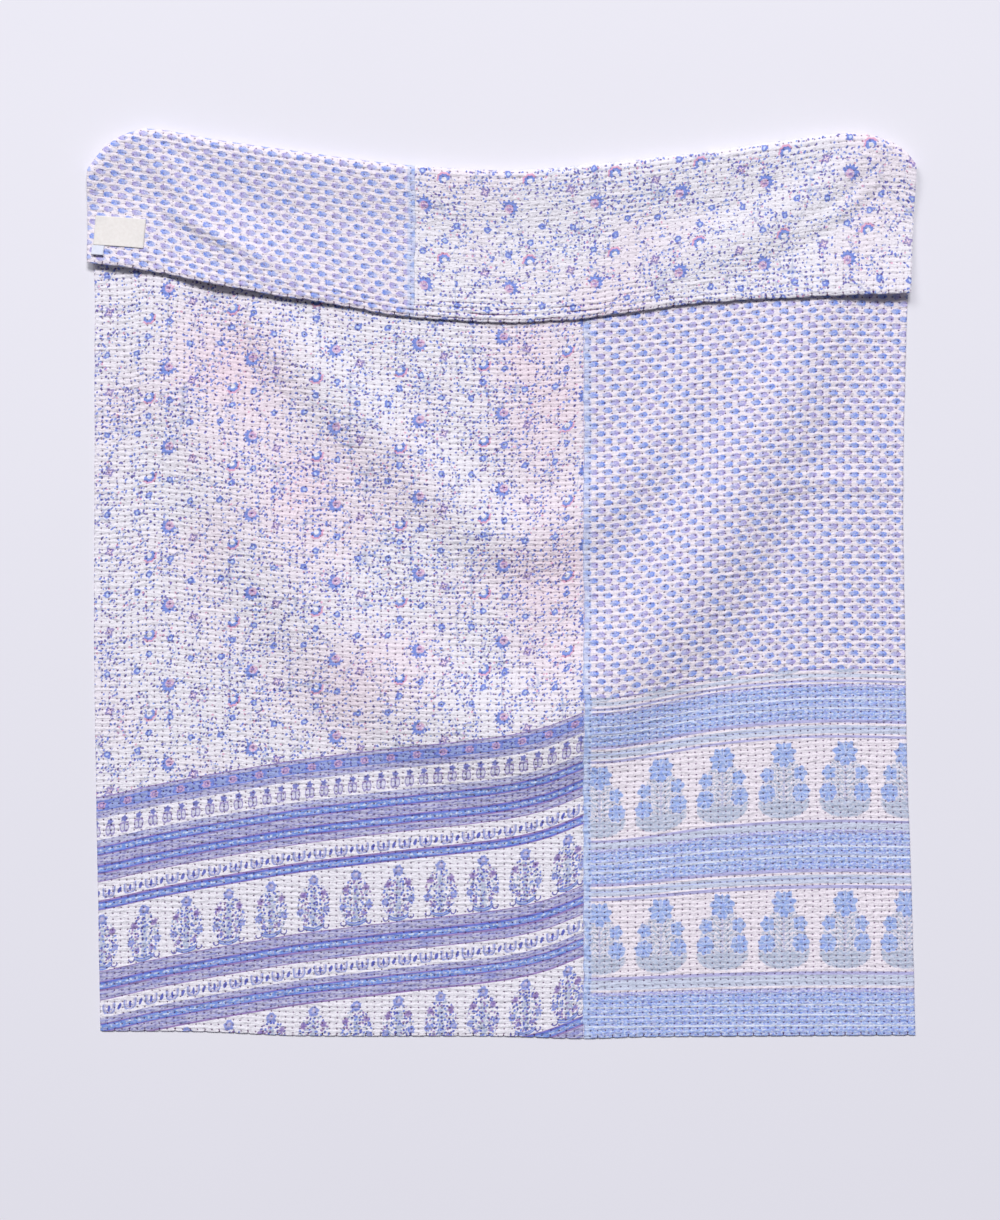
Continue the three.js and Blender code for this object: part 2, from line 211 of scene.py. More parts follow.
# A soft fold and a crease run down from each of the two points that the quilt hangs from.
FLAP_FOLDS = (
    fold(
        (-612, 752, 2, 40), (-570, 700, 9, 55), (-505, 636, 12, 65), (-420, 560, 9, 75),
        (-330, 505, 4, 70),
    ),
    fold((640, 742, 2, 40), (590, 706, 8, 50), (520, 655, 11, 60), (420, 600, 9, 70), (290, 556, 4, 70)),
    fold(
        (-598, 664, 0, 16), (-556, 634, 4, 18), (-500, 604, 6, 20), (-440, 575, 4, 20),
        (-380, 547, 1, 20),
    ),
    fold((664, 720, 0, 18), (640, 694, 3, 20), (598, 653, 6, 20), (545, 619, 4, 24), (480, 592, 1, 26)),
)


def x_across(across, left, right):
    """Where a place across the cloth falls, between side edges at `left` and `right`."""
    share = (across - REVERSE_SEAM) / (FACE_SEAM - REVERSE_SEAM)
    before = lerp(left, REVERSE_SEAM_X, across / REVERSE_SEAM)
    between = lerp(REVERSE_SEAM_X, FACE_SEAM_X, share)
    beyond = lerp(FACE_SEAM_X, right, (across - FACE_SEAM) / (WIDTH - FACE_SEAM))
    return np.where(across < REVERSE_SEAM, before, np.where(across < FACE_SEAM, between, beyond))


def front_height(x, y):
    return LAYER + sum(fold_height(fold, x, y) for fold in FACE_FOLDS)


def flap_height(x, y, share):
    apart = lerp(2 * TURN_RADIUS, LAYERS_APART, smooth(share / SETTLED))
    lift = hem_lift(x) * np.clip((share - LIFT_FROM) / (1 - LIFT_FROM), 0, 1) ** 2
    return front_height(x, y) + apart + lift + sum(fold_height(fold, x, y) for fold in FLAP_FOLDS)


def cloth_point(across, along):
    """The middle of the quilt at places across and along the cloth."""
    share = np.minimum(along / FRONT_LENGTH, 1)
    flap_share = np.maximum((along - FLAP_FROM) / FLAP_LENGTH, 0)
    angle = np.clip((along - FRONT_LENGTH) / TURN_RADIUS, 0, math.pi)
    on_flap = along > FLAP_FROM
    left = np.where(on_flap, flap_left(flap_share), front_left(share))
    right = np.where(on_flap, flap_right(flap_share), front_right(share))
    x = x_across(across, left, right)
    end = turned_end(x) - TURN_RADIUS
    dropped = np.maximum(CORNER_LEVEL - end, 0) * (np.abs(x) > CORNER_FROM)
    y_flap = lerp(end, flap_hem(x), flap_share)
    fall = smooth((share - CORNER_SHARE) / (1 - CORNER_SHARE))
    y_face = lerp(bottom_hem(x), end + dropped, share) - dropped * fall
    y = np.where(on_flap, y_flap, y_face)
    base = front_height(x, y)
    z = np.where(on_flap, 0, base + TURN_RADIUS * (1 - np.cos(angle)))
    if np.any(on_flap):
        z = np.where(on_flap, flap_height(x, y, flap_share), z)
    return np.stack([x, y + TURN_RADIUS * np.sin(angle) * ~on_flap, z], axis=-1)


def wander(across, along):
    """Where a place in the even grid of rows and stitches falls in the hand-sewn quilt."""
    loose = lerp(SIDE_DRIFT, 1, smooth(np.minimum(across, WIDTH - across) / SIDE_MARGIN))
    drift = noises(across, along, DRIFTS) * loose
    sway = noises(across, along, SWAYS) * smooth(along / HEM_MARGIN)
    from_stitch = np.abs(across / HEM_STITCH_PITCH - np.round(across / HEM_STITCH_PITCH))
    notch = HEM_NOTCH * smooth(1 - from_stitch / NOTCH_SHARE)
    hems = smooth(1 - along / NOTCH_REACH) - smooth(1 - (LENGTH - along) / NOTCH_REACH)
    return across + drift, along + sway + notch * hems


def drawn_back(across, along):
    """How far along a place falls when the turned-over end's corners draw its rows behind them.

    The flap is shorter at its corners, so that its rows keep level and run off over its end.
    """
    x = x_across(across, flap_left(1.0), flap_right(1.0))
    inner = np.clip(x, -CORNER_FROM, CORNER_FROM)
    full = turned_end(inner) - flap_hem(inner) - TURN_RADIUS
    stretch = np.maximum(full / (turned_end(x) - flap_hem(x) - TURN_RADIUS), 1)
    level_to = CORNER_SHARE * FRONT_LENGTH
    behind = (stretch - 1) * FLAP_LENGTH * smooth((along - level_to) / (FLAP_FROM - level_to))
    return np.where(along > FLAP_FROM, LENGTH - (LENGTH - along) * stretch, along - behind)


def surface(across, along, side, height):
    """Points `height` from the middle of the quilt, on its face (side 1) or its reverse (side -1)."""
    across, along = wander(across, along)
    along = drawn_back(across, along)
    over = cloth_point(across + SLOPE_STEP, along) - cloth_point(across - SLOPE_STEP, along)
    up = cloth_point(across, along + SLOPE_STEP) - cloth_point(across, along - SLOPE_STEP)
    normal = unit(np.cross(over, up))
    return cloth_point(across, along) + side * np.asarray(height)[..., None] * normal


def row_phase(along):
    """How far a place is from its nearest row of stitches: 0 in the row, 1 halfway to the next."""
    phase = (along - HEM_INSET) / ROW_PITCH
    return 2 * np.abs(phase - np.round(phase))


def gathered(across, along):
    """How much more the cloth puffs up than usual, such as where it bunches at the flap's hem."""
    to_hem = smooth(1 - (LENGTH - along) / BUNCH_DEPTH)
    middle = smooth(1 - np.abs(across - BUNCH_MIDDLE) / BUNCH_REACH)
    slack = FLAP_SLACK * smooth((along - FLAP_FROM) / SLACK_OVER) * (1 - to_hem)
    return 1 - slack + BUNCH_RISE * to_hem * middle + 0.28 * noise(across / 110, along / 90, 5)


def relief(across, along):
    """How far the cloth stands proud of its rows of stitches."""
    off = row_phase(along)
    stitch = across / STITCH_PITCH
    from_stitch = np.abs(stitch - np.round(stitch)) * 2
    near_stitch = np.exp(-((from_stitch / 0.5) ** 2))
    uneven = 1 + 0.34 * noise(across / 9, along / ROW_PITCH + 7, 6) - COLUMN_DEPTH * near_stitch
    uneven += 0.3 * noise(across / 48, along / ROW_PITCH + 3, 9)
    puff = PUFF * (1 - (1 - off) ** 3) * uneven
    return (puff - STITCH_DEPTH * near_stitch * (1 - off)) * gathered(across, along)


def thickness(across, along, start, end):
    """The share of a layer's full height over the middle of the quilt, less near hems and seams."""

    def roll(distance):
        return np.sqrt(np.clip(1 - (1 - np.clip(distance / EDGE, 0, 1)) ** 2, 0, 1))

    def side_edge(distance, outer):
        return roll(distance) if outer else lerp(SEAM_HEIGHT, 1, roll(distance))

    ends = roll(along) * roll(LENGTH - along)
    return ends * side_edge(across - start, start == 0) * side_edge(end - across, end == WIDTH)


def hem_tuck(along):
    return HEM_TUCK * smooth(1 - (LENGTH - along) / EDGE)


# ---------------- meshes


def add_object(name, data):
    """Puts a mesh, a light or a camera in the scene."""
    made = bpy.data.objects.new(name, data)
    bpy.context.scene.collection.objects.link(made)
    return made


def mesh_object(name, points, faces, material, maps=None):
    """An object of triangles or quads, with a UV map for each entry of `maps`."""
    mesh = bpy.data.meshes.new(name)
    sides = faces.shape[1]
    mesh.vertices.add(len(points))
    mesh.vertices.foreach_set("co", (np.asarray(points) * MM).astype(np.float32).ravel())
    mesh.loops.add(faces.size)
    mesh.loops.foreach_set("vertex_index", faces.astype(np.int32).ravel())
    mesh.polygons.add(len(faces))
    mesh.polygons.foreach_set("loop_start", np.arange(0, faces.size, sides, dtype=np.int32))
    mesh.update(calc_edges=True)
    for label, places in (maps or {}).items():
        layer = mesh.uv_layers.new(name=label)
        layer.uv.foreach_set("vector", places[faces.ravel()].astype(np.float32).ravel())
    mesh.shade_smooth()
    mesh.materials.append(material)
    return add_object(name, mesh)


def grid_faces(rows, columns, flipped=False):
    """Quads of a grid of points, row after row."""
    corner = (np.arange(rows - 1)[:, None] * columns + np.arange(columns - 1)).ravel()
    quads = np.stack([corner, corner + 1, corner + columns + 1, corner + columns], axis=-1)
    return quads[:, ::-1] if flipped else quads


def column_places(start, end):
    """Lines across a panel: three to each stitch, and closer ones where it rounds down at its edges."""
    third = STITCH_PITCH / 3
    inner = np.arange(math.ceil(start / third), math.floor(end / third) + 1) * third
    close = np.append(EDGE_LINES, EDGE)
    inner = inner[(inner > start + EDGE + 1) & (inner < end - EDGE - 1)]
    return np.concatenate([start + close, inner, end - close[::-1]])


def row_places(fine_from, fine_to, fine, coarse):
    """Lines along the quilt: `fine` to each space between stitch rows where it shows, or `coarse`."""
    places = [EDGE_LINES]
    for row in range(ROWS):
        start = HEM_INSET + row * ROW_PITCH
        steps = fine if fine_from <= start < fine_to else coarse
        places.append(start + ROW_PITCH * np.arange(steps) / steps)
    places.append([LENGTH - HEM_INSET])
    places.append(LENGTH - EDGE_LINES[::-1])
    return np.concatenate(places)


# ---------------- where the prints fall

# The prints were not cut square: their bands climb across the quilt. How far a band has climbed at x.
left_climb = curve(
    (-720, 0), (-690, 1), (-605, 20), (-518, 37), (-432, 52), (-346, 66), (-175, 87), (-3, 107),
    (75, 124), (142, 150),
)
left_climb_share = curve((-400, 1), (490, 0.6))
right_climb = curve(
    (141, 0), (204, 0.07), (362, 0.68), (467, 0.92), (546, 1), (617, 1), (694, 0.95), (712, 0.95)
)
right_climb_size = curve(
    (-777, 1), (-683, 10), (-549, 22), (-442, 36), (-304, 45), (-193, 50), (280, 31), (490, 24)
)


def face_print(x, y):
    """The print's own coordinates on the face, where its bands run level."""
    level = y
    for _ in range(4):
        left = left_climb(x) * left_climb_share(level)
        right = right_climb(x) * right_climb_size(level)
        level = y - np.where(x < FACE_SEAM_X, left, right)
    return np.stack([x, level], axis=-1)


def reverse_print(across, along):
    """The print's own coordinates on the reverse, whose cloth is upside down on the flap."""
    return np.stack([-across, along], axis=-1)


# ---------------- shader formulas

PLAIN, DOTTED, FLECKED = 0.0, 0.5, 1.0  # what fills a band of a print
SINGLE_ROW = 4000.0  # a repeat this high does not come round again on the quilt


def linear(red, green, blue):
    """A display colour from 0 to 255, as the light it stands for."""
    return tuple(
        c / 12.92 if c <= 0.04045 else ((c + 0.055) / 1.055) ** 2.4
        for c in (red / 255, green / 255, blue / 255)
    )


class Value:
    """A number, vector or colour at each point of a surface. Arithmetic on it adds shader nodes."""

    def __init__(self, socket):
        self.socket = socket

    def __abs__(self):
        return maths("ABSOLUTE", self)

    def __lt__(self, other):
        return maths("LESS_THAN", self, other)

    def __gt__(self, other):
        return maths("GREATER_THAN", self, other)


def allow(sign, operation):
    """Lets a sign of arithmetic stand between two values, or between a value and a number."""
    setattr(Value, f"__{sign}__", lambda a, b: maths(operation, a, b))
    setattr(Value, f"__r{sign}__", lambda a, b: maths(operation, b, a))


allow("add", "ADD")
allow("sub", "SUBTRACT")
allow("mul", "MULTIPLY")
allow("truediv", "DIVIDE")


def node(kind, inputs, output=0, **settings):
    """Adds a node, with its inputs by name or number, and gives one of its outputs."""
    tree = next(v.socket.id_data for v in inputs.values() if isinstance(v, Value))
    made = tree.nodes.new("ShaderNode" + kind)
    for key, value in settings.items():
        setattr(made, key, value)
    for key, value in inputs.items():
        if isinstance(value, Value):
            tree.links.new(value.socket, made.inputs[key])
        else:
            made.inputs[key].default_value = value
    return Value(made.outputs[output])


def maths(operation, *values):
    return node("Math", dict(enumerate(values)), operation=operation)


def vectors(operation, *values, output="Vector"):
    return node("VectorMath", dict(enumerate(values)), output, operation=operation)


def size_of(vector):
    return vectors("LENGTH", vector, output="Value")


def length_of(x, y):
    return size_of(joined(x, y))


def dot(vector, x, y):
    return vectors("DOT_PRODUCT", vector, (x, y, 0), output="Value")


def from_spot(at, x, y):
    """Where a point is from a spot."""
    return vectors("SUBTRACT", at, (x, y, 0))


def scaled(at, x, y):
    return vectors("MULTIPLY", at, (x, y, 0))


def smallest(*values):
    least = values[0]
    for value in values[1:]:
        least = maths("MINIMUM", least, value)
    return least


def parts_of(vector):
    """The x and y of a vector."""
    separate = node("SeparateXYZ", {0: vector}).socket.node
    return Value(separate.outputs[0]), Value(separate.outputs[1])


def joined(x, y):
    return node("CombineXYZ", {0: x, 1: y})


def ramp(value, low, high):
    """0 at `low`, 1 at `high`, and even between them."""
    return node("MapRange", {"Value": value, "From Min": low, "From Max": high})


def inside(distance, radius, soft=0.8):
    """1 where a distance is under a radius, and 0 where it is over it, with a soft edge."""
    return ramp(distance, radius + soft / 2, radius - soft / 2)


def near(value, middle, reach, soft=0.8):
    """1 where a value is within a reach of a middle one."""
    return inside(abs(value - middle), reach, soft)


def dip(distance, reach):
    """1 at no distance, falling smoothly to 0 at a reach."""
    limits = {"Value": distance, "From Min": reach, "From Max": 0.0}
    return node("MapRange", limits, interpolation_type="SMOOTHSTEP")


def paint(under, colour, amount, blend="MIX"):
    """A colour laid over another, by an amount from 0 to 1."""
    under, colour = (c if isinstance(c, Value) else (*c, 1) for c in (under, colour))
    inputs = {0: amount, 6: under, 7: colour}
    return node("Mix", inputs, 2, data_type="RGBA", blend_type=blend)


class Print:
    """A print in the making, with each ink laid over those before it."""

    def __init__(self, ground):
        self.colour = ground

    def lay(self, ink, amount):
        self.colour = paint(self.colour, ink, amount)


def clouds(at, spacing, detail=2.0, roughness=0.5):
    """Soft noise from 0 to 1, with bumps about `spacing` apart."""
    inputs = {"Vector": at, "Scale": 1 / spacing, "Detail": detail, "Roughness": roughness}
    return node("TexNoise", inputs)


def rough(at, spacing, size, detail=0):
    """Soft noise that shifts an edge by up to half of `size` either way."""
    return (clouds(at, spacing, detail) - 0.5) * size


def wavering(at, scale, size):
    """Places shifted a little from where they are, as slow noise says."""
    waver = node("TexNoise", {"Vector": at, "Scale": scale, "Detail": 1.0}, "Color")
    shift = vectors("SUBTRACT", waver, (0.5, 0.5, 0.5))
    return vectors("ADD", at, vectors("MULTIPLY", shift, (size, size, size)))


def repeat(at, x, y, across, up=SINGLE_ROW):
    """The place of a point from the nearest of the motifs that repeat from (x, y)."""
    half = (across / 2, up / 2, 1)
    return vectors("WRAP", from_spot(at, x, y), half, tuple(-h for h in half))


def scatter(at, spacing, slender=1.0, seed=0.0, loose=0.9):
    """The nearest of many scattered marks: the distance to it, and its own random colour."""
    moved = vectors("ADD", at, (seed, 2.7 * seed, 0))
    inputs = {"Vector": moved, "Scale": 1 / spacing, "Randomness": loose}
    mark = node("TexVoronoi", inputs, "Position", voronoi_dimensions="2D")
    random = Value(mark.socket.node.outputs["Color"])
    local = vectors("SUBTRACT", moved, mark)
    if slender != 1:
        turn = 6.28 * node("SeparateColor", {0: random})
        turned = node("VectorRotate", {"Vector": local, "Angle": turn}, rotation_type="Z_AXIS")
        local = scaled(turned, 1, slender)
    return size_of(local), random


def waves_round(local, lobes, turn=0.0):
    """A wave from -1 to 1, once for each lobe round a motif's middle."""
    x, y = parts_of(local)
    return maths("SINE", maths("ARCTAN2", y, x) * lobes + turn)


def lobed(local, lobes, depth, turn=0.0):
    """The distance from a motif's middle, less round its lobes."""
    return size_of(local) - depth * waves_round(local, lobes, turn)


def depth_of(rows):
    """How deep a stack of bands is."""
    return sum(row[0] for row in rows)


def filling_of(row):
    return row[2] if len(row) > 2 else PLAIN


def stripes(level, top, rows):
    """Bands under one another from `top`. Gives their colour, and the number of what fills each."""
    depth = depth_of(rows)
    bands = node("ValToRGB", {0: (top - level) / depth})
    shades = bands.socket.node.color_ramp
    shades.interpolation = "CONSTANT"
    shades.elements.remove(shades.elements[1])
    passed = 0
    for i, row in enumerate(rows):
        element = shades.elements[0] if i == 0 else shades.elements.new(passed / depth)
        element.position = passed / depth
        element.color = (*row[1], filling_of(row))
        passed += row[0]
    return bands, Value(bands.socket.node.outputs["Alpha"])


def banded(level, top, upper_rows, lower_rows):
    """Two stacks of bands, one under the other. Gives them, what fills them and which are lower."""
    lower_top = top - depth_of(upper_rows)
    upper, upper_filling = stripes(level, top, upper_rows)
    lower, lower_filling = stripes(level, lower_top, lower_rows)
    is_lower = level < lower_top
    filling = upper_filling + is_lower * (lower_filling - upper_filling)
    return Print(paint(upper, lower, is_lower)), filling, is_lower


# ---------------- the floral print

WHITE = linear(248, 244, 250)
BLUE = linear(100, 126, 220)
DEEP_BLUE = linear(60, 76, 190)
PURPLE = linear(118, 92, 184)
DARK = linear(92, 84, 176)
LAVENDER = linear(180, 177, 215)
GREY_LAVENDER = linear(200, 200, 228)
PINK = linear(234, 168, 198)
BAND_BLUE = linear(96, 143, 228)
BAND_EDGE = linear(66, 90, 206)
RING = linear(150, 158, 216)
ROSETTE_BLUE = linear(146, 164, 224)
WASH = linear(253, 226, 236)
LINE = linear(146, 112, 182)
FLECK = linear(216, 234, 255)
STEM = linear(170, 184, 214)
SKY_LEAF = linear(124, 160, 234)

# Faint pink washes in the ground: the middle of each, how much taller than wide it is, and its reach.
WASHES = (
    (-455, 300, 1.5, 170), (-330, 80, 1.6, 150), (75, 230, 2.4, 160), (110, -140, 2.0, 150),
    (-250, -230, 0.7, 220),
)
FIELD_REPEAT = (143.6, 137.3)
FIELD_FLOWER = (-428.8, 79.7)  # one of the ring flowers
SMALL_FLOWERS = ((-54, 33), (38, 38), (3, -57), (-34, -78))  # from a ring flower
# Leaves: their spacing, how slender they are, a seed, their radius, how crowded, and three inks.
LEAVES = (
    (10.2, 1.5, 31, 2.75, 1.0, BLUE, DARK, LAVENDER), (9.0, 1.2, 77, 1.8, 0.5, BLUE, PURPLE, PINK),
    (7.4, 1.3, 53, 1.6, 0.42, DEEP_BLUE, SKY_LEAF, BLUE),
)
# The flowers of a border plant: the place of each, its radius, its ink and its heart's.
PLANT_FLOWERS = (
    (17.5, -23, 5.6, LINE, PURPLE), (22.5, -52, 5.8, BLUE, LAVENDER), (13, -66, 4.2, LINE, BLUE),
    (0, 0, 8.8, BLUE, LAVENDER),
)
PLANT_REPEAT = (72.8, 225.3)
VASE_PITCH = 36.3
VASE_LEVELS = (-532, -732)
ROSETTE_LEVEL = -380.6
ROSETTE_PITCH = 45.2
SPRIG_PITCH = 24.5
FLECK_PITCH = 16.2

# The border's bands from its top: the width of each, its ink, and what fills it if it isn't plain.
FLORAL_TOP = -364.6
FLECK_BAND = (
    (1.7, LINE), (2.4, BAND_EDGE), (8.1, BAND_BLUE, FLECKED), (2.4, BAND_EDGE), (1.7, LINE),
)
FLORAL_UPPER = (
    (1.5, LINE), (5.6, LAVENDER, DOTTED), (2.6, BLUE), (12.6, ROSETTE_BLUE), (2.6, BLUE),
    (12, LAVENDER, DOTTED), (37, WHITE), (11.2, GREY_LAVENDER, DOTTED), *FLECK_BAND,
    (15.5, LAVENDER, DOTTED), *FLECK_BAND, (12, LAVENDER, DOTTED), (1.7, LINE), (31, WHITE),
    (1.7, LINE), *FLECK_BAND,
)
FLORAL_LOWER = (
    (103.2, WHITE), (2, LINE), (16, LAVENDER, DOTTED), *FLECK_BAND, (14.6, LAVENDER, DOTTED),
    (1.7, LINE), (30, WHITE), (9.5, LAVENDER, DOTTED), *FLECK_BAND, (14.6, LAVENDER, DOTTED),
    (2, LINE), (102, WHITE), *FLECK_BAND, (60, LAVENDER, DOTTED),
)


def flecked_middles(top, rows):
    """How high the middle of each band with flecks is."""
    heights = top - np.cumsum([row[0] for row in rows])
    return [h + row[0] / 2 for h, row in zip(heights, rows) if filling_of(row) == FLECKED]


def washed_ground(at):
    """White cotton with faint pink washes."""
    wash = 0.35 * ramp(clouds(at, 210, 1), 0.47, 0.7)
    for x, y, tall, reach in WASHES:
        wash = wash + 0.55 * dip(size_of(scaled(from_spot(at, x, y), 1, 1 / tall)), reach)
    return Print(paint(WHITE, WASH, maths("MINIMUM", wash, 1.0)))


def trails(cloth, at):
    """Trailing stems, with leaves scattered along them and fewer away from them."""
    trail = abs(clouds(at, 52, 0) - 0.5)
    cloth.lay(STEM, 0.6 * inside(trail, 0.01, 0.014))
    near_trail = inside(trail, 0.085, 0.06)
    ragged = rough(at, 3.2, 3.2)
    for spacing, slender, seed, radius, crowd, first, second, third in LEAVES:
        distance, random = scatter(at, spacing, slender, seed)
        chance, kind = (node("SeparateColor", {0: random}, channel) for channel in (1, 2))
        ink = paint(paint(first, second, kind > 0.68), third, kind < 0.3)
        grows = chance < crowd * (0.3 + 0.7 * near_trail)
        cloth.lay(ink, inside(distance + ragged, radius, 1.3) * grows)


def small_flowers(cloth, at):
    """Small round flowers with a pale eye, and one with four petals, in each repeat."""
    x, y = FIELD_FLOWER
    spots = [repeat(at, x + dx, y + dy, *FIELD_REPEAT) for dx, dy in SMALL_FLOWERS]
    rings = smallest(*(size_of(spot) for spot in spots)) + rough(at, 4.5, 5)
    cloth.lay(BLUE, inside(rings, 5.8, 1.4))
    cloth.lay(FLECK, inside(rings, 2.2, 1.4) * 0.8)
    cross = lobed(repeat(at, x + 42, y - 26, *FIELD_REPEAT), 4, 1.8)
    cloth.lay(PURPLE, 0.8 * inside(cross, 7, 1.8))
    cloth.lay(WASH, inside(cross, 2.6))


def half_blooms(cloth, at):
    """Blue cups with a pink rim, seen from the side."""
    x, y = FIELD_FLOWER
    bloom = repeat(at, x - 33, y - 45, *FIELD_REPEAT)
    below = dot(bloom, -0.45, 0.9)
    cup = lobed(bloom, 9, 0.7)
    cloth.lay(PINK, inside(cup, 12.6) * inside(below, -1.5))
    cloth.lay(BLUE, inside(cup, 9.4) * inside(below, 4))
    cloth.lay(SKY_LEAF, inside(cup, 7.2) * inside(below, 3) * 0.75)
    cloth.lay(WHITE, inside(size_of(bloom), 4.4) * inside(-3 - below, 1))


def ring_flowers(cloth, at):
    """Toothed blue flowers that open to one side, with a pink heart."""
    flower = repeat(at, *FIELD_FLOWER, *FIELD_REPEAT)
    teeth = lobed(flower, 12, 1.9)
    opening = dot(flower, 0.75, 0.66)
    veins = ramp(clouds(at, 3.2, 0), 0.42, 0.58)
    cloth.lay(BLUE, inside(teeth, 12.6) * inside(opening, 7.5, 3))
    cloth.lay(SKY_LEAF, inside(teeth, 10.6) * inside(opening, 6.5, 3) * veins * 0.7)
    heart = size_of(from_spot(flower, 1.8, 1.6))
    cloth.lay(paint(PINK, WASH, veins), inside(heart, 7.4, 1.6) * 0.8)
    streak = size_of(scaled(from_spot(flower, 0.6, 2.4), 0.5, 1))
    cloth.lay(PURPLE, inside(streak, 1.9, 1.2) * 0.8)


def rosettes(border, at, level):
    """A chain of rosettes along a band, with leaves between them."""
    rosette = repeat(at, -688, ROSETTE_LEVEL, ROSETTE_PITCH)
    in_band = near(level, ROSETTE_LEVEL, 6.2)
    petals = lobed(rosette, 8, 1.0)
    border.lay(BLUE, in_band * near(petals, 10, 2.6))
    border.lay(PINK, in_band * inside(petals, 7, 1.6) * 0.6)
    border.lay(PURPLE, in_band * near(size_of(rosette), 3.4, 1.0) * 0.8)
    leaves = inside(scatter(at, 8, 1.6, 5)[0], 2.3)
    border.lay(DEEP_BLUE, in_band * (size_of(rosette) > 11.5) * leaves)


def flecks(at, from_middle):
    """How far a place is from pale flecks in pairs along the middle of a band."""
    moved = vectors("ADD", at, joined(9 * clouds(at, 40, 1), 0.0))
    x, _ = parts_of(repeat(moved, -700, 0, FLECK_PITCH))
    return smallest(length_of(x * 0.8, from_middle), length_of(x * 0.75 + 4, from_middle) + 0.5)


def floral_fillings(border, at, level, filling):
    """Pale flecks over the blue bands, and streaks and dark dashes over the lavender ones."""
    is_flecked = filling > 0.75
    is_dotted = (filling > 0.25) - is_flecked
    middles = flecked_middles(FLORAL_TOP, FLORAL_UPPER + FLORAL_LOWER)
    pale = flecks(at, smallest(*(abs(level - middle) for middle in middles))) + rough(at, 4, 3)
    tint = clouds(scaled(at, 0.5, 1), 3.4, 1)
    border.lay(LAVENDER, is_flecked * ramp(tint, 0.46, 0.6) * 0.75)
    border.lay(FLECK, is_flecked * inside(pale, 1.9, 1.3) * ramp(tint, 0.36, 0.54))
    streaks = clouds(scaled(at, 0.1, 1), 3.6, 2)
    border.lay(GREY_LAVENDER, is_dotted * ramp(streaks, 0.5, 0.6))
    border.lay(BLUE, is_dotted * ramp(streaks, 0.48, 0.36) * 0.5)
    dashes = scatter(scaled(at, 0.5, 1), 5.2, 1, 19, 0.6)[0]
    border.lay(DARK, is_dotted * inside(dashes, 1.3) * 0.7)


def sprigs(border, at):
    """A row of small plants, each with one flower over a pair of curled leaves."""
    local = repeat(at, -673, -411, SPRIG_PITCH)
    x, y = parts_of(local)
    half = abs(x)
    leaf = length_of(half - 3.4, (y + 14.5) * 0.5)
    border.lay(GREY_LAVENDER, inside(leaf, 4.4, 1.5) * 0.6)
    border.lay(PURPLE, near(leaf, 3.9, 0.8) * 0.75)
    border.lay(DARK, inside(half, 1.1) * near(y, -13, 9) * 0.6)
    border.lay(LINE, inside(length_of(half - 6.2, y + 7), 1.5) * 0.8)
    border.lay(DEEP_BLUE, inside(lobed(local, 5, 0.9, 1.5) + rough(at, 4, 3), 5.0, 1.8) * 0.9)


def vases(border, at, level):
    """A row of tulips in round vases, with a bud between each two."""
    x, y = parts_of(repeat(at, -675, level, VASE_PITCH))
    round_base = length_of(x, maths("MINIMUM", y, 0.0))
    body = near(y, 0, 9)
    border.lay(RING, near(round_base, 9.4, 1.7) * body)
    border.lay(PURPLE, near(round_base, 6.4, 0.7) * body * 0.6)
    border.lay(DEEP_BLUE, inside(length_of(x, y * 0.36), 2.2))
    border.lay(BLUE, inside(length_of(abs(x) - 3.6, y + 2), 1.5) * 0.8)
    x, y = parts_of(repeat(at, -657, level, VASE_PITCH))
    border.lay(DEEP_BLUE, inside(length_of(x - y * 0.25, y * 0.55), 3))


def plant_leaves(plants, at, x, y, ragged):
    """A border plant's stem, its mass of small leaves and its two branches."""
    half = abs(x)
    distance, random = scatter(at, 5.7, 1.4, 11)
    kind = node("SeparateColor", {0: random}, 2)
    leaf = STEM
    for ink, above in ((BLUE, 0.25), (LINE, 0.5), (DEEP_BLUE, 0.68)):
        leaf = paint(leaf, ink, kind > above)
    plants.lay(STEM, inside(half, 4.5, 3) * near(y, -48, 32, 6) * 0.7)
    plant = length_of(x * 1.45, y + 44) + ragged
    plants.lay(leaf, inside(distance, 2.5, 1.2) * inside(plant, 40, 3))
    plants.lay(STEM, near(y - half * 0.9, -64, 1.3) * inside(half, 22) * 0.8)


def plant_base(plants, half, y):
    """The low curved base that a border plant grows from, with a curl at each end."""
    base = abs(y + 84 - half * half * 0.02)
    plants.lay(STEM, inside(base, 3.6) * inside(half, 17))
    plants.lay(BLUE, near(base, 2, 1.1) * inside(half, 18))
    plants.lay(DARK, near(length_of(half - 21.5, y + 80), 4.5, 1.2) * inside(y, -78))


def flower_plants(border, at):
    """The border's flowering plants, over a copy of its bands."""
    plants = Print(border.colour)
    local = repeat(at, -614.6, -577.0, *PLANT_REPEAT)
    x, y = parts_of(local)
    ragged = rough(at, 3.4, 4)
    plant_leaves(plants, at, x, y, ragged)
    mirrored = joined(abs(x), y)
    for dx, dy, radius, ink, heart in PLANT_FLOWERS:
        petals = lobed(from_spot(mirrored, dx, dy), 6, 0.9) + ragged
        plants.lay(ink, inside(petals, radius, 1.6) * 0.85)
        plants.lay(heart, inside(petals, radius * 0.45, 1.6) * 0.9)
    plants.lay(WASH, inside(size_of(from_spot(local, 1, 2.4)), 2.6, 2) * 0.4)
    plant_base(plants, abs(x), y)
    return plants.colour


def floral_border(at, level):
    """Bands of flecks, small plants and flowering plants, under the flower field."""
    border, filling, is_lower = banded(level, FLORAL_TOP, FLORAL_UPPER, FLORAL_LOWER)
    rosettes(border, at, level)
    floral_fillings(border, at, level, filling)
    sprigs(border, at)
    for height in VASE_LEVELS:
        vases(border, at, height)
    border.lay(flower_plants(border, at), is_lower)
    return border.colour


